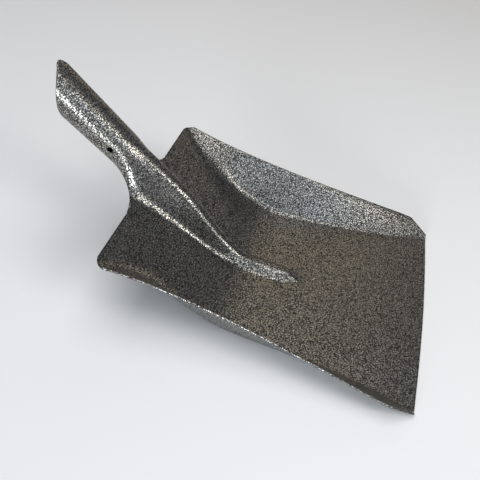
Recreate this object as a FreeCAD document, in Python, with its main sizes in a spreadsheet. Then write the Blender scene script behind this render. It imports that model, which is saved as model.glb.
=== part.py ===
import FreeCAD, Part
import Sketcher
import math
import os

# Grain scoop shovel head: one steel pressing (blade and frog), its rolled socket and the socket's weld.
# Millimetres. X is across the blade, +Y runs to the cutting edge, +Z is up.
# Design coordinates: y = 0 is the rear edge of the blade, z = 0 the upper face of its flat floor.

SIZES = {
    # sheet
    "sheet_thickness": 1.8,
    "floor_flattening": 0.05,
    # plan of the blade
    "blade_length": 292.0,
    "rear_half_width": 126.0,
    "front_half_width": 135.5,
    "front_floor_half_width": 125.0,
    "side_bow": 11.4,
    "front_bow": 3.0,
    "corner_cut_length": 25.0,
    "rear_corner_radius": 12.0,
    # heights of the blade
    "rear_height": 65.0,
    "corner_height": 15.0,
    "rear_slope": 0.66,
    "rear_fillet_start": 71.0,
    "rear_fillet_end": 131.5,
    # bend between the floor and a side wall
    "wall_foot_rear": 92.0,
    "wall_foot_front": 121.0,
    "corner_foot_run": 28.0,
    "corner_foot_depth": 50.0,
    "bend_reach_rear": 22.0,
    "bend_reach_front": 4.0,
    # frog: the centre ridge and its tongue
    "frog_height": 29.4,
    "frog_fall_centre": 72.0,
    "frog_fall_width": 15.0,
    "frog_extra_half_width": 16.0,
    "frog_narrowing": 42.0,
    "tongue_height": 5.5,
    "tongue_half_width": 11.0,
    "tongue_round_start": 148.0,
    "tongue_end": 162.0,
    "frog_foot_reach": 4.5,
    "frog_foot_extra_reach": 9.0,
    "crest_half_width": 3.4,
    "crest_extra_half_width": 3.3,
    # neck between the blade and the socket
    "neck_half_width": 38.0,
    "neck_end": 34.0,
    # socket
    "socket_pitch": 37.25,
    "socket_axis_height": 79.5,
    "socket_root_radius": 16.1,
    "socket_taper": 0.0284,
    "land_start": 60.0,
    "land_end": 74.0,
    "mouth_tip": 127.0,
    "mouth_fall": 48.0,
    "screw_hole_station": 39.5,
    "screw_hole_diameter": 5.5,
    # seam and weld under the socket
    "weld_angle": 18.0,
    "weld_crown": 1.2,
    "weld_start": 35.0,
    "weld_end": 77.0,
    # place of the model's origin on the centre line
    "floor_centre": 200.0,
}

# narrowest share of the tongue's half width as it rounds off at its end
BLUNTEST = 0.6
# largest share of the side wall that its bend may take up
LONGEST_BEND = 0.6
# below 1, the sides are drawn in most behind the middle of the blade
BOW_SKEW = 0.72
# how far the neck's columns hold their own directions, as a share of the neck's length
NECK_HOLD = 0.9
NECK_PARTS = (0.0, 0.05, 0.14, 0.25, 0.37, 0.5, 0.63, 0.76, 0.88, 1.0, 1.1)
# chords that stand for the mouth's curved edge in side view
MOUTH_CHORDS = 10


def make_sheet(document):
    sheet = document.addObject("Spreadsheet::Sheet", "Sizes")
    for row, (name, value) in enumerate(SIZES.items(), start=1):
        sheet.set(f"A{row}", name)
        sheet.set(f"B{row}", str(value))
        sheet.setAlias(f"B{row}", name)
    document.recompute()
    return sheet


def blade_heights(size, y):
    """Height of the pan on the centre line without the frog, and of the side wall's top edge."""
    start, end = size["rear_fillet_start"], size["rear_fillet_end"]
    if y < start:
        floor = size["rear_height"] - size["rear_slope"] * y
    elif y < end:
        foot = size["rear_height"] - size["rear_slope"] * start
        floor = foot * ((end - y) / (end - start)) ** 2
    else:
        floor = 0.0
    straight = size["blade_length"] - size["corner_cut_length"]
    wall = size["rear_height"] + (size["corner_height"] - size["rear_height"]) * y / straight
    return floor, max(floor, wall)


def blade_widths(size, y):
    """Half widths of the wall's foot and of its top edge, and the reach of the bend between them."""
    straight = size["blade_length"] - size["corner_cut_length"]
    along = y / size["blade_length"]
    foot = size["wall_foot_rear"] + (size["wall_foot_front"] - size["wall_foot_rear"]) * along ** 3
    foot += size["corner_foot_run"] * max(1.0 - y / size["corner_foot_depth"], 0.0) ** 2
    edge_part = min(y / straight, 1.0)
    flare = (size["front_half_width"] - size["rear_half_width"]) * edge_part
    bow = size["side_bow"] * math.sin(math.pi * edge_part ** BOW_SKEW)
    edge = size["rear_half_width"] + flare - bow
    rear_reach, front_reach = size["bend_reach_rear"], size["bend_reach_front"]
    reach = front_reach + (rear_reach - front_reach) * (1.0 - along) ** 2
    return foot, edge, reach


def frog_shape(size, y):
    """Height of the frog above the pan, and the half widths of its crest, its foot and its foot's bend."""
    fall = 1.0 / (1.0 + math.exp((y - size["frog_fall_centre"]) / size["frog_fall_width"]))
    height = size["tongue_height"] + size["frog_height"] * fall
    half = size["tongue_half_width"]
    half += size["frog_extra_half_width"] * math.exp(-y / size["frog_narrowing"])
    start, end = size["tongue_round_start"], size["tongue_end"]
    if y > start:
        rounding = math.sqrt(max(1.0 - ((y - start) / (end - start)) ** 2, 0.0))
        height *= rounding
        half *= max(rounding, BLUNTEST)
    crest = size["crest_half_width"] + size["crest_extra_half_width"] * fall
    outer = half + size["frog_foot_reach"] + size["frog_foot_extra_reach"] * fall
    return height, crest, half, outer


def section_poles(size, y):
    """Control points of one cross-section, from the crest of the frog out to the wall's top edge."""
    floor, wall = blade_heights(size, y)
    foot, edge, reach = blade_widths(size, y)
    height, crest, half, outer = frog_shape(size, y)
    top = floor + height
    bend_part = min(reach / math.hypot(edge - foot, wall - floor), LONGEST_BEND)
    return [
        (crest, top),
        (0.5 * (crest + half), 0.5 * (top + floor)),
        (half, floor),
        (outer, floor),
        (0.5 * (outer + foot - reach), floor),
        (foot - reach, floor),
        (foot, floor),
        (foot + (edge - foot) * bend_part, floor + (wall - floor) * bend_part),
        (edge, wall),
    ]


def blade_stations(size):
    """Stations along the blade: close together over the neck and frog, wider over the flat floor."""
    tongue = size["tongue_end"]
    stations = [0.0, 5.0] + [14.0 * step for step in range(1, 10)]
    stations += [0.87 * tongue, 0.94 * tongue, 0.985 * tongue, 1.01 * tongue, 1.06 * tongue]
    length = size["blade_length"]
    stations += [length * part for part in (0.66, 0.74, 0.82, 0.90, 0.96, 1.0)]
    return stations


def end_mults(count, degree):
    return [degree + 1] + [1] * (count - degree - 1) + [degree + 1]


def even_knots(count, degree):
    return [float(knot) for knot in range(count - degree + 1)]


def smooth_surface(rows, along=3, across=2):
    surface = Part.BSplineSurface()
    surface.buildFromPolesMultsKnots(
        rows,
        end_mults(len(rows), along), end_mults(len(rows[0]), across),
        even_knots(len(rows), along), even_knots(len(rows[0]), across),
        False, False, along, across)
    return surface


def pole_parameters(count, degree):
    """Parameter at which each control point of a clamped even spline has most weight."""
    knots = [0.0] * degree + even_knots(count, degree) + [float(count - degree)] * degree
    return [sum(knots[index + 1:index + 1 + degree]) / degree for index in range(count)]


def upper_face_rows(size):
    """Control points of the pressing's upper face, wider and longer than the trimmed sheet."""
    rows = []
    for y in blade_stations(size):
        half_row = section_poles(size, y)
        bow = (y / size["blade_length"]) ** 4 * size["front_bow"]
        whole_row = [(-x, z) for x, z in reversed(half_row)] + half_row
        rows.append([
            FreeCAD.Vector(x, y - bow * (x / size["front_floor_half_width"]) ** 2, z)
            for x, z in whole_row])
    return rows


def neck_rows(size):
    """Control points of the neck's outer face: the frog's section at the rear edge rolls into a tube.

    Every column runs from the blade's section to the socket's circle, leaving each along its own
    direction, and the last column is the free edge that curls round to the seam underneath.
    """
    pitch = math.radians(size["socket_pitch"])
    up_axis = FreeCAD.Vector(0.0, -math.cos(pitch), math.sin(pitch))
    across_axis = FreeCAD.Vector(0.0, math.sin(pitch), math.cos(pitch))
    end = FreeCAD.Vector(0.0, 0.0, size["socket_axis_height"]) + up_axis * size["neck_end"]
    radius = size["socket_root_radius"] + size["socket_taper"] * size["neck_end"]
    octagon = radius * math.tan(math.radians(22.5))
    seam = math.radians(0.5 * size["weld_angle"])
    ring = [(octagon, radius), (radius, octagon), (radius, -octagon), (octagon, -radius)]
    ring.append((radius * math.sin(seam), -radius * math.cos(seam)))
    section = section_poles(size, 0.0)[:3]
    foot = section[-1][0]
    for x in (0.6 * foot + 0.4 * size["neck_half_width"], size["neck_half_width"]):
        section.append((x, size["rear_height"]))
    # directions in which the columns leave the blade: the outer ones already turn towards the seam
    steep, rear = math.tan(pitch), size["rear_slope"]
    turns = [(0.0, 1.0, steep), (0.0, 1.0, steep), (0.2, 0.9, rear), (0.5, 0.7, rear), (0.8, 0.45, rear)]
    leave = [FreeCAD.Vector(-inward, -back, slope * back).normalize() for inward, back, slope in turns]
    rows = []
    for part in NECK_PARTS:
        share = min(max(part, 0.0), 1.0)
        weight = share * share * (3.0 - 2.0 * share)
        half_row = []
        for (x, z), direction, (ring_x, ring_up) in zip(section, leave, ring):
            start = FreeCAD.Vector(x, 0.0, z)
            finish = end + across_axis * ring_up + FreeCAD.Vector(ring_x, 0.0, 0.0)
            reach = NECK_HOLD * (finish - start).Length
            half_row.append((start + direction * reach * part) * (1.0 - weight)
                            + (finish + up_axis * reach * (part - 1.0)) * weight)
        mirrored = [FreeCAD.Vector(-pole.x, pole.y, pole.z) for pole in reversed(half_row)]
        rows.append(mirrored + half_row)
    return rows


def thicken(rows, thickness, inward):
    """Closed solid between a smooth surface and the same surface set back towards the point inward."""
    outer = smooth_surface(rows)
    along = pole_parameters(len(rows), 3)
    across = pole_parameters(len(rows[0]), 2)
    middle = outer.value(0.5 * along[-1], 0.5 * across[-1])
    normal = outer.normal(0.5 * along[-1], 0.5 * across[-1])
    sign = 1.0 if normal.dot(inward - middle) > 0.0 else -1.0
    set_back = []
    for row, u in zip(rows, along):
        set_back.append([
            pole + outer.normal(u, v) * (sign * thickness) for pole, v in zip(row, across)])
    faces = [outer.toShape(), smooth_surface(set_back).toShape()]
    rims = [smooth_surface([rows[end], set_back[end]], 1, 2).toShape() for end in (0, -1)]
    for side in (0, -1):
        outer_edge = [row[side] for row in rows]
        inner_edge = [row[side] for row in set_back]
        rims.append(smooth_surface([outer_edge, inner_edge], 1, 3).toShape())
    shell = Part.makeShell(faces + rims)
    shell.sewShape()
    solid = Part.makeSolid(shell)
    if solid.Volume < 0.0:
        solid.reverse()
    return solid


def origin_plane(body, role):
    return next(item for item in body.Origin.OriginFeatures if item.Role == role)


def outline_sketch(body, name, plane, corners):
    """Closed outline of straight sides; every corner is a pair of expressions in the sheet's names."""
    sketch = body.newObject("Sketcher::SketchObject", name)
    sketch.AttachmentSupport = [(origin_plane(body, plane), "")]
    sketch.MapMode = "FlatFace"
    places = []
    for across, along in corners:
        x, y = sketch.evalExpression(across), sketch.evalExpression(along)
        places.append(FreeCAD.Vector(float(x), float(y), 0.0))
    count = len(places)
    for side in range(count):
        sketch.addGeometry(Part.LineSegment(places[side], places[(side + 1) % count]))
    for side in range(count):
        sketch.addConstraint(Sketcher.Constraint("Coincident", side, 2, (side + 1) % count, 1))
    for side, (across, along) in enumerate(corners):
        hold_distance(sketch, "DistanceX", side, places[side].x, across)
        hold_distance(sketch, "DistanceY", side, places[side].y, along)
    return sketch


def hold_distance(sketch, kind, side, value, expression):
    number = sketch.addConstraint(Sketcher.Constraint(kind, -1, 1, side, 1, value))
    sketch.setExpression(f"Constraints[{number}]", expression)


def edges_through(shape, points):
    """Names of the edges that pass through the given points."""
    names = []
    for number, edge in enumerate(shape.Edges, start=1):
        if any(edge.distToShape(Part.Vertex(point))[0] < 0.01 for point in points):
            names.append(f"Edge{number}")
    return names


def make_blank_outline(document, size):
    """Prism with the plan outline of the trimmed blade, standing on the flat underside of its floor."""
    body = document.addObject("PartDesign::Body", "BlankOutline")
    cut_across = "(Sizes.front_half_width - Sizes.front_floor_half_width)"
    cut_along = "(Sizes.corner_cut_length - Sizes.front_bow)"
    right = [
        (f"Sizes.front_floor_half_width - 0.6 * {cut_across}",
         f"Sizes.blade_length - Sizes.front_bow + 0.6 * {cut_along}"),
        (f"Sizes.front_half_width + 0.6 * {cut_across}",
         f"Sizes.blade_length - Sizes.corner_cut_length - 0.6 * {cut_along}"),
        (f"Sizes.front_half_width + 0.6 * {cut_across}", "Sizes.rear_height"),
        ("Sizes.rear_half_width", "-0.2 * Sizes.rear_corner_radius"),
    ]
    left = [(f"-({across})", along) for across, along in reversed(right)]
    sketch = outline_sketch(body, "PlanOutline", "XY_Plane", right + left)
    sketch.setExpression("AttachmentOffset.Base.z", "-Sizes.sheet_thickness")
    pad = body.newObject("PartDesign::Pad", "OutlineHeight")
    pad.Profile = sketch
    pad.setExpression("Length", "3 * Sizes.rear_height")
    document.recompute()
    behind = -0.2 * size["rear_corner_radius"]
    corners = [FreeCAD.Vector(side * size["rear_half_width"], behind, 0.0) for side in (-1.0, 1.0)]
    rounds = body.newObject("PartDesign::Fillet", "RearCorners")
    rounds.Base = (pad, edges_through(pad.Shape, corners))
    rounds.setExpression("Radius", "Sizes.rear_corner_radius")
    document.recompute()
    return body


def make_scoop_blade(document, size):
    sheet = document.addObject("Part::Feature", "PressedSheet")
    thickness = size["sheet_thickness"] + size["floor_flattening"]
    sheet.Shape = thicken(upper_face_rows(size), thickness, FreeCAD.Vector(0.0, 0.0, -1000.0))
    blade = document.addObject("Part::Common", "ScoopBlade")
    blade.Base = sheet
    blade.Tool = make_blank_outline(document, size)
    blade.Label = "scoop_blade"
    place_in_frame(blade, "0")
    return blade


def make_neck(document, size):
    """Flared neck, trimmed flat at the blade's rear edge and square to the socket's axis above."""
    pitch = math.radians(size["socket_pitch"])
    axis_point = FreeCAD.Vector(0.0, 0.0, size["socket_axis_height"])
    sheet = document.addObject("Part::Feature", "RolledNeck")
    sheet.Shape = thicken(neck_rows(size), size["sheet_thickness"], axis_point)
    beyond = document.addObject("Part::Box", "BeyondNeck")
    for side in ("Length", "Width", "Height"):
        beyond.setExpression(side, "2 * Sizes.rear_height")
    turn = FreeCAD.Rotation(FreeCAD.Vector(1.0, 0.0, 0.0), 90.0 - size["socket_pitch"])
    up_axis = FreeCAD.Vector(0.0, -math.cos(pitch), math.sin(pitch))
    corner = turn.multVec(FreeCAD.Vector(-size["rear_height"], -size["rear_height"], 0.0))
    beyond.Placement = FreeCAD.Placement(axis_point + up_axis * size["neck_end"] + corner, turn)
    neck = document.addObject("Part::Cut", "Neck")
    neck.Base = sheet
    neck.Tool = beyond
    place_in_frame(neck, "0")
    return neck


def place_in_frame(piece, height):
    """The model's origin is under the middle of the flat floor."""
    piece.setExpression("Placement.Base.y", "-Sizes.floor_centre")
    piece.setExpression("Placement.Base.z", f"Sizes.sheet_thickness + {height}")


def place_on_socket_axis(body, size):
    """The body's own Z runs up the socket's axis from where it crosses the blade's rear edge."""
    turn = FreeCAD.Rotation(FreeCAD.Vector(1.0, 0.0, 0.0), 90.0 - size["socket_pitch"])
    body.Placement = FreeCAD.Placement(FreeCAD.Vector(), turn)
    body.setExpression("Placement.Rotation.Angle", "(90 - Sizes.socket_pitch) * 1 deg")
    place_in_frame(body, "Sizes.socket_axis_height")


def radius_at(station):
    return f"(Sizes.socket_root_radius + Sizes.socket_taper * ({station}))"


def wall_outline(start, end, side, crown="0"):
    """Corners of the tapered wall between two stations, with the short cylindrical land for the shaft."""
    land = radius_at("0.5 * (Sizes.land_start + Sizes.land_end)")
    stations = [(start, radius_at(start)), ("Sizes.land_start", land), ("Sizes.land_end", land)]
    stations.append((end, radius_at(end)))
    outer = [(f"{side} * ({radius} + {crown})", station) for station, radius in stations]
    inner = [(f"{side} * ({radius} - Sizes.sheet_thickness)", station) for station, radius in stations]
    return outer + inner[::-1]


def mouth_outline():
    """What the mouth cuts away in side view: its edge falls evenly round the tube from tip to seam."""
    radius = radius_at("Sizes.mouth_tip")
    edge = []
    for chord in range(MOUTH_CHORDS + 1):
        round_share = chord / MOUTH_CHORDS
        across = math.cos(math.pi * round_share)
        edge.append((f"{across:.4f} * {radius}", f"Sizes.mouth_tip - {round_share} * Sizes.mouth_fall"))
    below = (f"-2 * {radius}", f"Sizes.mouth_tip - Sizes.mouth_fall")
    beyond = [(f"{side} * {radius}", "2 * Sizes.mouth_tip") for side in ("-2", "2")]
    return [(f"2 * {radius}", "Sizes.mouth_tip")] + edge + [below] + beyond


def make_shaft_socket(document, size):
    body = document.addObject("PartDesign::Body", "SocketTube")
    wall = wall_outline("Sizes.neck_end", "Sizes.mouth_tip", "1")
    sketch = outline_sketch(body, "SocketWall", "YZ_Plane", wall)
    revolve(body, "RolledWall", sketch, "360 - Sizes.weld_angle")
    document.recompute()
    mouth = outline_sketch(body, "MouthOutline", "YZ_Plane", mouth_outline())
    cut_through(document, body, "PointedMouth", mouth)
    hole = body.newObject("Sketcher::SketchObject", "ScrewHoleCircle")
    hole.AttachmentSupport = [(origin_plane(body, "YZ_Plane"), "")]
    hole.MapMode = "FlatFace"
    centre = FreeCAD.Vector(0.0, size["screw_hole_station"], 0.0)
    hole.addGeometry(Part.Circle(centre, FreeCAD.Vector(0, 0, 1), 0.5 * size["screw_hole_diameter"]))
    hole.addConstraint(Sketcher.Constraint("PointOnObject", 0, 3, -2))
    station = hole.addConstraint(Sketcher.Constraint("DistanceY", -1, 1, 0, 3, size["screw_hole_station"]))
    hole.setExpression(f"Constraints[{station}]", "Sizes.screw_hole_station")
    width = hole.addConstraint(Sketcher.Constraint("Diameter", 0, size["screw_hole_diameter"]))
    hole.setExpression(f"Constraints[{width}]", "Sizes.screw_hole_diameter")
    cut_through(document, body, "ScrewHole", hole)
    place_on_socket_axis(body, size)
    socket = document.addObject("Part::MultiFuse", "ShaftSocket")
    socket.Shapes = [make_neck(document, size), body]
    socket.Label = "shaft_socket"
    return socket


def make_seam_weld(document, size):
    body = document.addObject("PartDesign::Body", "SocketSeamWeld")
    body.Label = "socket_seam_weld"
    bead = wall_outline("Sizes.weld_start", "Sizes.weld_end", "-1", "Sizes.weld_crown")
    sketch = outline_sketch(body, "BeadSection", "YZ_Plane", bead)
    revolve(body, "Bead", sketch, "Sizes.weld_angle")
    document.recompute()
    place_on_socket_axis(body, size)
    return body


def revolve(body, name, sketch, angle):
    feature = body.newObject("PartDesign::Revolution", name)
    feature.Profile = sketch
    feature.ReferenceAxis = (sketch, ["V_Axis"])
    feature.Midplane = True
    feature.setExpression("Angle", angle)
    return feature


def cut_through(document, body, name, sketch):
    before = body.Shape.Volume
    feature = body.newObject("PartDesign::Pocket", name)
    feature.Profile = sketch
    feature.Type = "ThroughAll"
    feature.Midplane = True
    document.recompute()
    if feature.Shape.Volume >= before:
        raise RuntimeError(f"{name} removes nothing")


def check(document, pieces):
    for item in document.Objects:
        if "Invalid" in item.State or "Error" in item.State:
            raise RuntimeError(f"{item.Name} failed: {item.State}")
    for piece in pieces:
        if piece.Shape.isNull() or not piece.Shape.isValid():
            raise RuntimeError(f"{piece.Label} has no valid shape")


def main():
    document = FreeCAD.newDocument("GrainScoop")
    sheet = make_sheet(document)
    size = {name: float(sheet.get(name)) for name in SIZES}
    pieces = [
        make_scoop_blade(document, size),
        make_shaft_socket(document, size),
        make_seam_weld(document, size),
    ]
    document.recompute()
    check(document, pieces)
    os.makedirs("parts", exist_ok=True)
    for piece in pieces:
        piece.Shape.exportStep(f"parts/{piece.Label}.step")
        box = piece.Shape.BoundBox
        print(piece.Label, "solids", len(piece.Shape.Solids), "volume", round(piece.Shape.Volume),
              "x", round(box.XMin, 1), round(box.XMax, 1), "y", round(box.YMin, 1), round(box.YMax, 1),
              "z", round(box.ZMin, 1), round(box.ZMax, 1))


main()
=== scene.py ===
import math

import bmesh
import bpy
import numpy as np
from mathutils import Matrix, Vector


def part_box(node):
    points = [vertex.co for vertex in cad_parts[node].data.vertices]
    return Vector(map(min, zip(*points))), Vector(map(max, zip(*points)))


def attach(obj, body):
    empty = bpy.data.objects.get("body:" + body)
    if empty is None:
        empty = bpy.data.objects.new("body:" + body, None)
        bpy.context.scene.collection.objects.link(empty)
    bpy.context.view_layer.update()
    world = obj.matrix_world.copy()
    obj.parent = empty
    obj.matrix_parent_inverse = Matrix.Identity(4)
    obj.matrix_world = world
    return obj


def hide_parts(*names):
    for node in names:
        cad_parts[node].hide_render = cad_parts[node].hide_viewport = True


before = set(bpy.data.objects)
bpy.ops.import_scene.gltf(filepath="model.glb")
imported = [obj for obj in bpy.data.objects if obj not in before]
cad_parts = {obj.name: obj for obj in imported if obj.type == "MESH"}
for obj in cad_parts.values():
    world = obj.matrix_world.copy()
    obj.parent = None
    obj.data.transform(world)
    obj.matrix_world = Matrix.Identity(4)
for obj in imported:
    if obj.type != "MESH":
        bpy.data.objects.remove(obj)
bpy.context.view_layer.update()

# Grain scoop shovel head in hammered enamel. The pressed sheet is modelled here as one continuous skin,
# which stands for the blade and socket nodes; the weld bead stands for the weld node.
# Shapes are worked out in millimetres from the blade's rear edge and the top of its floor, like the CAD.

BLADE_LOW, BLADE_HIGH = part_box("scoop_blade")

SHEET = 1.8
LENGTH = 292.0
REAR_Y = BLADE_HIGH[1] * 1000.0 - LENGTH
FLOOR_Z = BLADE_LOW[2] * 1000.0 + SHEET

# blade
REAR_HALF, FRONT_HALF, FRONT_FLOOR_HALF = 126.0, 135.5, 125.0
SIDE_BOW, FRONT_BOW = 11.4, 3.0
BOW_SKEW = 0.72
CORNER_CUT = 25.0
REAR_ROUND, REAR_INSET = 12.0, 2.5
REAR_HEIGHT, CORNER_HEIGHT = 65.0, 15.0
REAR_SLOPE, FILLET_START, FILLET_END = 0.66, 71.0, 131.5
FOOT_REAR, FOOT_FRONT = 92.0, 121.0
CORNER_FOOT_RUN, CORNER_FOOT_DEPTH = 28.0, 50.0
BEND_REAR, BEND_FRONT = 22.0, 4.0
LONGEST_BEND = 0.6

# frog and tongue
FROG_HEIGHT, FROG_CENTRE, FROG_WIDTH = 29.4, 72.0, 15.0
FROG_EXTRA, FROG_NARROWING = 16.0, 42.0
TONGUE_HEIGHT, TONGUE_HALF = 5.5, 11.0
TONGUE_ROUND, TONGUE_END = 148.0, 162.0
TONGUE_BLUNTEST = 0.6
FOOT_REACH, FOOT_EXTRA_REACH = 4.5, 9.0
CREST_HALF, CREST_EXTRA = 3.4, 3.3

# neck and socket
NECK_HALF, NECK_END = 50.0, 34.0
NECK_HOLD = 0.95
TURN_START, TURN_BACK, TURN_INWARD = 0.6, 0.72, 0.95
PITCH = math.radians(37.25)
AXIS_HEIGHT = 79.5
ROOT_RADIUS, TAPER = 16.1, 0.0284
SEAM_HALF = math.radians(9.0)
MOUTH_TIP, MOUTH_FALL = 127.0, 48.0
MOUTH_BLUNT = 0.08
HOLE_STATION, HOLE_RADIUS = 39.5, 2.75
BEAD_START, BEAD_END, BEAD_CROWN = 35.0, 77.0, 1.15
BEAD_RIPPLE, RIPPLE_DEPTH, RIPPLE_LAG = 1.7, 0.25, 1.6
BEAD_TAPER = 3.0

# mesh fineness
SPAN_STEPS = 10
ROW_STEP = 1.7
REAR_ROUND_ROWS, CORNER_CUT_ROWS = 10, 16
NECK_ROWS, SOCKET_ROWS = 36, 60
RIM_STEPS = 4
RIPPLE_ROWS = 8
CURVE_SAMPLES = 400


def blade_heights(y):
    """Height of the pan on the centre line without the frog, and of the side wall's top edge."""
    if y < FILLET_START:
        floor = REAR_HEIGHT - REAR_SLOPE * y
    elif y < FILLET_END:
        foot = REAR_HEIGHT - REAR_SLOPE * FILLET_START
        floor = foot * ((FILLET_END - y) / (FILLET_END - FILLET_START)) ** 2
    else:
        floor = 0.0
    wall = REAR_HEIGHT + (CORNER_HEIGHT - REAR_HEIGHT) * y / (LENGTH - CORNER_CUT)
    return floor, max(floor, wall)


def blade_widths(y):
    """Half widths of the wall's foot and of its top edge, and the reach of the bend between them."""
    along = y / LENGTH
    foot = FOOT_REAR + (FOOT_FRONT - FOOT_REAR) * along ** 3
    foot += CORNER_FOOT_RUN * max(1.0 - y / CORNER_FOOT_DEPTH, 0.0) ** 2
    part = min(y / (LENGTH - CORNER_CUT), 1.0)
    edge = REAR_HALF + (FRONT_HALF - REAR_HALF) * part - SIDE_BOW * math.sin(math.pi * part ** BOW_SKEW)
    reach = BEND_FRONT + (BEND_REAR - BEND_FRONT) * (1.0 - along) ** 2
    return foot, edge, reach


def frog_shape(y):
    """Height of the frog above the pan, and the half widths of its crest, its foot and its foot's bend."""
    fall = 1.0 / (1.0 + math.exp((y - FROG_CENTRE) / FROG_WIDTH))
    height = TONGUE_HEIGHT + FROG_HEIGHT * fall
    half = TONGUE_HALF + FROG_EXTRA * math.exp(-y / FROG_NARROWING)
    if y > TONGUE_ROUND:
        rounding = math.sqrt(max(1.0 - ((y - TONGUE_ROUND) / (TONGUE_END - TONGUE_ROUND)) ** 2, 0.0))
        height *= rounding
        half *= max(rounding, TONGUE_BLUNTEST)
    return height, CREST_HALF + CREST_EXTRA * fall, half, half + FOOT_REACH + FOOT_EXTRA_REACH * fall


def section_poles(y):
    """Control points of one cross-section, from the crest of the frog out to the wall's top edge."""
    floor, wall = blade_heights(y)
    foot, edge, reach = blade_widths(y)
    height, crest, half, outer = frog_shape(y)
    bend = min(reach / math.hypot(edge - foot, wall - floor), LONGEST_BEND)
    return [
        (crest, floor + height),
        (0.5 * (crest + half), floor + 0.5 * height),
        (half, floor),
        (outer, floor),
        (0.5 * (outer + foot - reach), floor),
        (foot - reach, floor),
        (foot, floor),
        (foot + (edge - foot) * bend, floor + (wall - floor) * bend),
        (edge, wall),
    ]


def blade_stations():
    """Stations along the blade: close together over the neck and frog, wider over the flat floor."""
    stations = [0.0, 5.0] + [14.0 * step for step in range(1, 10)]
    stations += [TONGUE_END * part for part in (0.87, 0.94, 0.985, 1.01, 1.06)]
    return stations + [LENGTH * part for part in (0.66, 0.74, 0.82, 0.90, 0.96, 1.0)]


def blade_net():
    """Control net of the blade's upper face: one row for each station, right half then mirrored."""
    net = []
    for y in blade_stations():
        half = section_poles(y)
        bow = (y / LENGTH) ** 4 * FRONT_BOW
        row = [(-x, z) for x, z in reversed(half)] + half
        net.append([(x, y - bow * (x / FRONT_FLOOR_HALF) ** 2, z) for x, z in row])
    return np.array(net)


def spline_basis(count, degree, places):
    """Weights of a clamped even spline's control points at each place, as one matrix."""
    knots = np.concatenate([np.zeros(degree), np.arange(count - degree + 1),
                            np.full(degree, count - degree)]).astype(float)
    places = np.clip(np.asarray(places, float), 0.0, count - degree - 1e-9)
    basis = ((places[:, None] >= knots[None, :-1]) & (places[:, None] < knots[None, 1:])).astype(float)
    for order in range(1, degree + 1):
        reach = len(knots) - order - 1
        left_gap = knots[order:order + reach] - knots[:reach]
        right_gap = knots[order + 1:order + 1 + reach] - knots[1:1 + reach]
        left = np.divide(places[:, None] - knots[None, :reach], left_gap,
                         out=np.zeros((len(places), reach)), where=left_gap > 0.0)
        right = np.divide(knots[None, order + 1:order + 1 + reach] - places[:, None], right_gap,
                          out=np.zeros((len(places), reach)), where=right_gap > 0.0)
        basis = left * basis[:, :reach] + right * basis[:, 1:reach + 1]
    return basis


def outline_limit(y):
    """Half width of the trimmed sheet in plan: rounded rear corners and straight-cut front corners."""
    limit = math.inf
    if y < REAR_ROUND:
        limit = REAR_HALF - REAR_INSET - REAR_ROUND + math.sqrt(REAR_ROUND ** 2 - (REAR_ROUND - y) ** 2)
    cut_start = LENGTH - CORNER_CUT
    if y > cut_start:
        part = (y - cut_start) / (CORNER_CUT - FRONT_BOW)
        limit = FRONT_HALF - (FRONT_HALF - FRONT_FLOOR_HALF) * part
    return limit


def blade_rows():
    """Rows of points of the blade's upper face, rear edge first, trimmed to the outline."""
    net = blade_net()
    count, across = net.shape[0], net.shape[1]
    fine = np.linspace(0.0, count - 3, 3 * CURVE_SAMPLES)
    profile = spline_basis(count, 3, fine) @ net[:, across // 2, 1]
    near = REAR_ROUND * (1.0 - np.cos(np.linspace(0.0, math.pi / 2, REAR_ROUND_ROWS + 1)))
    cut_start = LENGTH - CORNER_CUT
    middle = np.linspace(REAR_ROUND, cut_start, int((cut_start - REAR_ROUND) / ROW_STEP))
    front = np.linspace(cut_start, LENGTH, CORNER_CUT_ROWS)
    stations = np.concatenate([near[:-1], middle[:-1], front])
    rows = []
    span = across - 2
    centre = 0.5 * span
    halves = np.linspace(0.0, 1.0, SPAN_STEPS * (across // 2 - 1) + 1)
    for place in np.interp(stations, profile, fine):
        poles = (spline_basis(count, 3, [place]) @ net.reshape(count, -1)).reshape(across, 3)
        dense = np.linspace(centre, span, CURVE_SAMPLES)
        curve = spline_basis(across, 2, dense) @ poles
        limit = outline_limit(curve[-1, 1])
        reach = centre
        if curve[-1, 0] > limit:
            reach = np.interp(limit, curve[:, 0], dense) - centre
        right = spline_basis(across, 2, centre + halves * reach) @ poles
        left = right[:0:-1] * np.array([-1.0, 1.0, 1.0])
        rows.append(np.concatenate([left, right]))
    return np.array(rows)


def neck_columns(blade):
    """How many columns of the blade each side of the crest carry on into the neck."""
    middle = blade.shape[1] // 2
    return int(np.argmin(np.abs(blade[0, middle:, 0] - NECK_HALF)))


def socket_point(station, angle, radius):
    """Point of the socket: angle is measured round the axis from its crest, positive to +X."""
    up_axis = np.array([0.0, -math.cos(PITCH), math.sin(PITCH)])
    across = np.array([0.0, math.sin(PITCH), math.cos(PITCH)])
    centre = np.array([0.0, 0.0, AXIS_HEIGHT]) + up_axis * station
    return centre + across * radius * math.cos(angle) + np.array([radius * math.sin(angle), 0.0, 0.0])


def socket_radius(station):
    return ROOT_RADIUS + TAPER * station


def mouth_station(angle):
    """The mouth's edge falls evenly round the tube from its blunt tip over the crest to the seam."""
    share = abs(angle) / math.pi
    blunt = 0.5 * MOUTH_BLUNT
    if share < MOUTH_BLUNT:
        share = blunt + blunt * (share / MOUTH_BLUNT) ** 2
    return MOUTH_TIP - MOUTH_FALL * share


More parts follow.
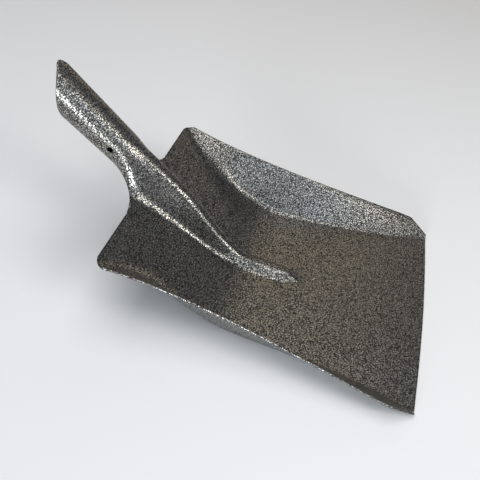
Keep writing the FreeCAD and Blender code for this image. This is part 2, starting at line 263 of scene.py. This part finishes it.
def neck_and_socket_rows(edge_row):
    """Rows that roll the blade's rear section into the tube, then run up the tube to its mouth."""
    count = len(edge_row) // 2
    lengths = np.concatenate([[0.0], np.cumsum(np.linalg.norm(np.diff(edge_row[count:], axis=0), axis=1))])
    angles = (lengths / lengths[-1]) * (math.pi - SEAM_HALF)
    angles = np.concatenate([-angles[:0:-1], angles])
    up_axis = np.array([0.0, -math.cos(PITCH), math.sin(PITCH)])
    foot = section_poles(0.0)[2][0]
    leave = []
    for x, y, z in edge_row:
        turn = min(max((abs(x) - TURN_START * foot) / (NECK_HALF - TURN_START * foot), 0.0), 1.0)
        slope = math.tan(PITCH) + (REAR_SLOPE - math.tan(PITCH)) * min(abs(x) / foot, 1.0)
        back = 1.0 - TURN_BACK * turn
        way = np.array([-math.copysign(TURN_INWARD * turn ** 1.3, x), -back, slope * back])
        leave.append(way / np.linalg.norm(way))
    leave = np.array(leave)
    radius = socket_radius(NECK_END)
    ring = np.array([socket_point(NECK_END, angle, radius) for angle in angles])
    chord = NECK_HOLD * np.linalg.norm(ring - edge_row, axis=1)[:, None]
    rows = []
    for part in np.linspace(0.0, 1.0, NECK_ROWS + 1)[1:]:
        weight = part * part * (3.0 - 2.0 * part)
        rows.append((edge_row + leave * chord * part) * (1.0 - weight)
                    + (ring + up_axis * chord * (part - 1.0)) * weight)
    for part in np.linspace(0.0, 1.0, SOCKET_ROWS + 1)[1:]:
        row = []
        for angle in angles:
            station = NECK_END + (mouth_station(angle) - NECK_END) * part
            row.append(socket_point(station, angle, socket_radius(station)))
        rows.append(row)
    return np.array(rows)


def grid_faces(index, flip):
    """Quads of a grid of vertex numbers."""
    faces = []
    for a, b in zip(index[:-1], index[1:]):
        for corner in range(len(a) - 1):
            quad = (a[corner], a[corner + 1], b[corner + 1], b[corner])
            faces.append(quad[::-1] if flip else quad)
    return faces


def upper_skin():
    """Points and quads of the whole pressing's outer and upper face."""
    blade = blade_rows()
    rows, columns = blade.shape[:2]
    middle = columns // 2
    keep = neck_columns(blade)
    index = np.arange(rows * columns).reshape(rows, columns)
    points = [blade.reshape(-1, 3)]
    faces = grid_faces(index, False)
    inner = slice(middle - keep, middle + keep + 1)
    neck = neck_and_socket_rows(blade[0, inner])
    neck_index = rows * columns + np.arange(neck.shape[0] * neck.shape[1]).reshape(neck.shape[:2])
    neck_index = np.concatenate([index[0:1, inner], neck_index])
    points.append(neck.reshape(-1, 3))
    faces += grid_faces(neck_index, True)
    return np.concatenate(points), faces


def punch_hole(mesh):
    """Opens the screw hole through both sides: faces inside go, the cut's edge is drawn to the circle."""
    centre = np.array(socket_point(HOLE_STATION, 0.0, 0.0))
    up_axis = Vector((0.0, -math.cos(PITCH), math.sin(PITCH)))
    across = Vector((0.0, math.sin(PITCH), math.cos(PITCH)))
    near_wall = 0.5 * ROOT_RADIUS

    def flat(place):
        offset = place - Vector(centre)
        return offset.dot(up_axis), offset.dot(across)

    doomed = []
    for face in mesh.faces:
        along, side = flat(face.calc_center_median())
        if abs(face.calc_center_median().x) > near_wall and math.hypot(along, side) < HOLE_RADIUS:
            doomed.append(face)
    bmesh.ops.delete(mesh, geom=doomed, context="FACES")
    for vertex in mesh.verts:
        along, side = flat(vertex.co)
        distance = math.hypot(along, side)
        if abs(vertex.co.x) < near_wall or distance > 1.6 * HOLE_RADIUS or not vertex.is_boundary:
            continue
        shift = HOLE_RADIUS / distance - 1.0
        vertex.co += up_axis * along * shift + across * side * shift


def thicken(mesh):
    """Closes the skin into a sheet with a rounded rim all round its free edges."""
    mesh.normal_update()
    mesh.verts.ensure_lookup_table()
    skin = list(mesh.verts)
    normals = [vertex.normal.copy() for vertex in skin]
    outward = [Vector((0.0, 0.0, 0.0)) for _ in skin]
    loops = []
    for edge in mesh.edges:
        if len(edge.link_faces) == 1:
            loop = edge.link_loops[0]
            start, end = loop.vert, loop.link_loop_next.vert
            out = (end.co - start.co).cross(loop.face.normal).normalized()
            outward[start.index] += out
            outward[end.index] += out
            loops.append((start, end))
    half = 0.5 * SHEET
    for vertex in skin:
        if outward[vertex.index].length > 0.0:
            normal = normals[vertex.index]
            out = outward[vertex.index]
            outward[vertex.index] = (out - normal * out.dot(normal)).normalized()
            vertex.co -= outward[vertex.index] * half
    under = [mesh.verts.new(vertex.co - normals[vertex.index] * SHEET) for vertex in skin]
    for face in list(mesh.faces):
        mesh.faces.new([under[vertex.index] for vertex in reversed(face.verts)])
    rims = {}
    for vertex in skin:
        if outward[vertex.index].length == 0.0:
            continue
        centre = vertex.co - normals[vertex.index] * half
        ring = [vertex]
        for step in range(1, RIM_STEPS):
            turn = math.pi * step / RIM_STEPS
            reach = normals[vertex.index] * math.cos(turn) + outward[vertex.index] * math.sin(turn)
            ring.append(mesh.verts.new(centre + reach * half))
        ring.append(under[vertex.index])
        rims[vertex] = ring
    for start, end in loops:
        for step in range(RIM_STEPS):
            a, b = rims[start], rims[end]
            mesh.faces.new((b[step], a[step], a[step + 1], b[step + 1]))


def to_object(name, mesh):
    """Moves a mesh built in millimetres into the frame, in metres."""
    mesh.transform(Matrix.Scale(0.001, 4) @ Matrix.Translation((0.0, REAR_Y, FLOOR_Z)))
    data = bpy.data.meshes.new(name)
    mesh.to_mesh(data)
    mesh.free()
    for polygon in data.polygons:
        polygon.use_smooth = True
    piece = bpy.data.objects.new(name, data)
    bpy.context.scene.collection.objects.link(piece)
    return piece


def make_sheet(material):
    """The whole pressing as one sheet: blade, frog, neck and rolled socket."""
    points, faces = upper_skin()
    mesh = bmesh.new()
    vertices = [mesh.verts.new(point) for point in points]
    for face in faces:
        mesh.faces.new([vertices[number] for number in face])
    mesh.verts.index_update()
    punch_hole(mesh)
    loose = [vertex for vertex in mesh.verts if not vertex.link_faces]
    bmesh.ops.delete(mesh, geom=loose, context="VERTS")
    mesh.verts.index_update()
    thicken(mesh)
    piece = to_object("pressed_head", mesh)
    piece.data.materials.append(material)
    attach(piece, "root")
    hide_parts("scoop_blade", "shaft_socket")
    return piece


def make_bead(material):
    """Rippled weld bead that closes the seam underneath the socket."""
    mesh = bmesh.new()
    rings = []
    count = RIPPLE_ROWS * int((BEAD_END - BEAD_START) / BEAD_RIPPLE)
    for station in np.linspace(BEAD_START, BEAD_END, count):
        radius = socket_radius(station)
        swell = min(min(station - BEAD_START, BEAD_END - station) / BEAD_TAPER, 1.0) ** 0.5
        ring = []
        for across in np.linspace(-1.0, 1.0, 13):
            lag = station + RIPPLE_LAG * across ** 2
            ripple = 1.0 - RIPPLE_DEPTH + RIPPLE_DEPTH * abs(math.sin(math.pi * lag / BEAD_RIPPLE))
            crown = BEAD_CROWN * (1.0 - across ** 2) * swell * ripple
            ring.append(socket_point(station, math.pi + across * SEAM_HALF, radius + crown))
        for across in np.linspace(1.0, -1.0, 5):
            ring.append(socket_point(station, math.pi + across * SEAM_HALF, radius - 0.8 * SHEET))
        rings.append([mesh.verts.new(point) for point in ring])
    for below, above in zip(rings[:-1], rings[1:]):
        for here in range(len(below)):
            mesh.faces.new((below[here - 1], below[here], above[here], above[here - 1]))
    for ring in (rings[0], rings[-1]):
        mesh.faces.new(ring)
    bmesh.ops.recalc_face_normals(mesh, faces=mesh.faces)
    piece = to_object("rippled_weld_bead", mesh)
    piece.data.materials.append(material)
    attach(piece, "root")
    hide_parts("socket_seam_weld")


def node(material, kind, inputs, settings=()):
    """Adds one shader node; inputs are constants or the sockets to link from."""
    made = material.node_tree.nodes.new(kind)
    for name, value in settings:
        setattr(made, name, value)
    for name, value in inputs.items():
        if isinstance(value, bpy.types.NodeSocket):
            material.node_tree.links.new(value, made.inputs[name])
        else:
            made.inputs[name].default_value = value
    return made


def colour_steps(material, factor, steps):
    """Colour ramp through the given places and colours."""
    ramp = node(material, "ShaderNodeValToRGB", {"Fac": factor})
    elements = ramp.color_ramp.elements
    while len(elements) < len(steps):
        elements.new(0.5)
    for element, (place, colour) in zip(elements, steps):
        element.position = place
        element.color = (*colour, 1.0)
    return ramp.outputs["Color"]


def hammered_enamel():
    """Hammered-effect enamel: metallic cells between dark branching veins, glossy over a bumpy film."""
    material = bpy.data.materials.new("hammered_enamel")
    material.use_nodes = True
    shader = material.node_tree.nodes["Principled BSDF"]
    place = node(material, "ShaderNodeTexCoord", {}).outputs["Object"]
    drift = node(material, "ShaderNodeTexNoise", {"Vector": place, "Scale": 380.0, "Detail": 1.0})
    shift = node(material, "ShaderNodeVectorMath", {0: drift.outputs["Color"], 1: (0.0028, 0.0028, 0.0028)},
                 [("operation", "MULTIPLY")])
    moved = node(material, "ShaderNodeVectorMath", {0: place, 1: shift.outputs["Vector"]}).outputs["Vector"]
    veins = node(material, "ShaderNodeTexVoronoi", {"Vector": moved, "Scale": 450.0},
                 [("feature", "DISTANCE_TO_EDGE")]).outputs["Distance"]
    blots = node(material, "ShaderNodeTexNoise", {"Vector": place, "Scale": 700.0, "Detail": 2.0})
    film = node(material, "ShaderNodeMath", {0: blots.outputs["Fac"], 1: 0.55}, [("operation", "MULTIPLY")])
    film = node(material, "ShaderNodeMath", {0: veins, 1: film.outputs["Value"]}).outputs["Value"]
    colour = colour_steps(material, film, [
        (0.28, (0.008, 0.007, 0.007)), (0.37, (0.04, 0.034, 0.03)),
        (0.46, (0.33, 0.32, 0.29)), (0.68, (0.50, 0.485, 0.45))])
    gloss = node(material, "ShaderNodeMapRange", {"Value": film, "From Min": 0.28, "From Max": 0.5,
                                                  "To Min": 0.5, "To Max": 0.27}).outputs["Result"]
    flake = node(material, "ShaderNodeMapRange", {"Value": film, "From Min": 0.28, "From Max": 0.42,
                                                  "To Min": 0.2, "To Max": 0.9}).outputs["Result"]
    bump = node(material, "ShaderNodeBump", {"Height": film, "Strength": 0.35, "Distance": 0.0004})
    links = material.node_tree.links
    links.new(colour, shader.inputs["Base Color"])
    links.new(gloss, shader.inputs["Roughness"])
    links.new(flake, shader.inputs["Metallic"])
    links.new(bump.outputs["Normal"], shader.inputs["Normal"])
    coat = node(material, "ShaderNodeMapRange", {"Value": film, "From Min": 0.3, "From Max": 0.45,
                                                 "To Min": 0.12, "To Max": 0.5}).outputs["Result"]
    links.new(coat, shader.inputs["Coat Weight"])
    shader.inputs["Coat Roughness"].default_value = 0.2
    return material


def make_floor():
    """Plain pale floor that the head rests on."""
    data = bpy.data.meshes.new("floor")
    side = 3.0
    data.from_pydata([(-side, -side, 0.0), (side, -side, 0.0), (side, side, 0.0), (-side, side, 0.0)],
                     [], [(0, 1, 2, 3)])
    floor = bpy.data.objects.new("floor", data)
    bpy.context.scene.collection.objects.link(floor)
    material = bpy.data.materials.new("floor")
    material.use_nodes = True
    shader = material.node_tree.nodes["Principled BSDF"]
    shader.inputs["Base Color"].default_value = (0.92, 0.92, 0.92, 1.0)
    shader.inputs["Roughness"].default_value = 0.8
    data.materials.append(material)


def area_light(name, direction, distance, size, radiance, colour=(1.0, 1.0, 1.0)):
    """Rectangular soft light in the given direction from the part, facing it; radiance sets its power."""
    data = bpy.data.lights.new(name, "AREA")
    data.shape = "RECTANGLE"
    data.size, data.size_y = size
    data.energy = radiance * math.pi * size[0] * size[1]
    data.color = colour
    light = bpy.data.objects.new(name, data)
    away = Vector(direction).normalized()
    light.location = Vector((0.0, -0.05, 0.05)) + away * distance
    light.rotation_euler = away.to_track_quat("Z", "Y").to_euler()
    light.visible_camera = False
    bpy.context.scene.collection.objects.link(light)


def make_lights():
    """Soft studio: a broad light overhead, cool ones towards the camera's side, dim warm ones behind."""
    world = bpy.data.worlds.new("studio")
    bpy.context.scene.world = world
    world.use_nodes = True
    background = world.node_tree.nodes["Background"]
    background.inputs["Color"].default_value = (0.64, 0.76, 1.0, 1.0)
    background.inputs["Strength"].default_value = 0.11
    area_light("overhead", (0.02, -0.12, 1.0), 1.7, (1.8, 1.6), 1.8)
    area_light("broad_side", (0.76, 0.26, 0.66), 1.8, (1.3, 0.7), 1.6, (0.80, 0.89, 1.0))
    area_light("window", (0.34, 0.74, 0.58), 1.7, (0.8, 0.7), 6.0, (1.0, 0.98, 0.94))
    area_light("low_side", (0.97, -0.17, 0.13), 2.8, (0.85, 0.8), 25.0, (0.90, 0.95, 1.0))
    area_light("warm_back", (-0.75, -0.18, 0.60), 1.8, (1.4, 1.2), 0.42, (1.0, 0.78, 0.48))
    area_light("warm_low", (-0.93, 0.26, 0.26), 1.8, (1.2, 0.7), 0.34, (1.0, 0.84, 0.64))


def make_camera():
    """Camera at the viewing angle of the reference view: a little rolled, looking down across the blade."""
    data = bpy.data.cameras.new("camera")
    data.lens = 48.64
    data.sensor_width = 36.0
    camera = bpy.data.objects.new("camera", data)
    eye = Vector((0.4842, -0.0321, 0.4431))
    target = Vector((-0.0344, -0.1055, 0.0))
    roll = math.radians(10.49)
    look = (target - eye).to_track_quat("-Z", "Y").to_matrix().to_4x4()
    camera.matrix_world = Matrix.Translation(eye) @ look @ Matrix.Rotation(roll, 4, "Z")
    bpy.context.scene.collection.objects.link(camera)
    bpy.context.scene.camera = camera


bpy.context.scene.view_settings.view_transform = "Standard"
make_camera()
enamel = hammered_enamel()
make_sheet(enamel)
make_bead(enamel)
make_floor()
make_lights()
